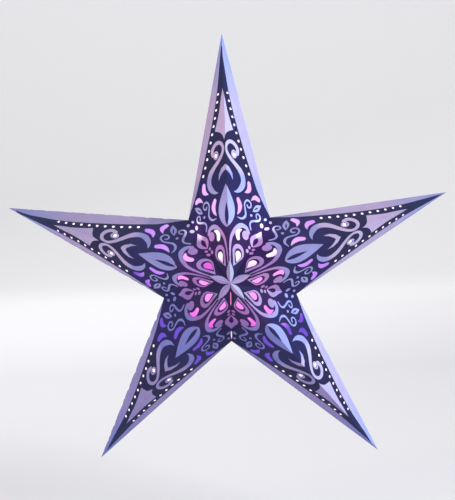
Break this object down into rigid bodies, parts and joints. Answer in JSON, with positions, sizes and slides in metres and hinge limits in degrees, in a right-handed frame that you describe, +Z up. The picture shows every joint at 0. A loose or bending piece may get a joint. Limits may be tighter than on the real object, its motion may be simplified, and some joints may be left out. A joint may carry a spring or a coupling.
{
  "type": "folded paper star",
  "caption": "Hollow star folded from printed card, with cut windows backed by tinted tissue, hung by its upper tip as an ornament or lamp shade.",
  "frame": {"origin": "the tip of the upper arm, where the star hangs", "axes": "+Z up along the upper arm, -Y the way the front apex looks, +X to the right seen from the front"},
  "size_m": [0.5611, 0.19, 0.5465],
  "materials": {
    "printed_card": "matte lavender card printed in deep violet-blue ink",
    "pink_tissue": "thin pink tissue, lit from behind",
    "violet_tissue": "thin violet tissue, lit from behind",
    "white_tissue": "thin white tissue, lit from behind"
  },
  "bodies": {
    "root": {"star_shell": "printed_card", "pink_tissue_right_front": "pink_tissue", "violet_tissue_right_front": "violet_tissue", "white_tissue_right_front": "white_tissue", "pink_tissue_top_front": "pink_tissue", "violet_tissue_top_front": "violet_tissue", "white_tissue_top_front": "white_tissue", "pink_tissue_left_front": "pink_tissue", "violet_tissue_left_front": "violet_tissue", "white_tissue_left_front": "white_tissue", "pink_tissue_lower_left_front": "pink_tissue", "violet_tissue_lower_left_front": "violet_tissue", "white_tissue_lower_left_front": "white_tissue", "pink_tissue_lower_right_front": "pink_tissue", "violet_tissue_lower_right_front": "violet_tissue", "white_tissue_lower_right_front": "white_tissue", "pink_tissue_right_back": "pink_tissue", "violet_tissue_right_back": "violet_tissue", "white_tissue_right_back": "white_tissue", "pink_tissue_top_back": "pink_tissue", "violet_tissue_top_back": "violet_tissue", "white_tissue_top_back": "white_tissue", "pink_tissue_left_back": "pink_tissue", "violet_tissue_left_back": "violet_tissue", "white_tissue_left_back": "white_tissue", "pink_tissue_lower_left_back": "pink_tissue", "violet_tissue_lower_left_back": "violet_tissue", "white_tissue_lower_left_back": "white_tissue", "pink_tissue_lower_right_back": "pink_tissue", "violet_tissue_lower_right_back": "violet_tissue", "white_tissue_lower_right_back": "white_tissue"}
  },
  "joints": []
}
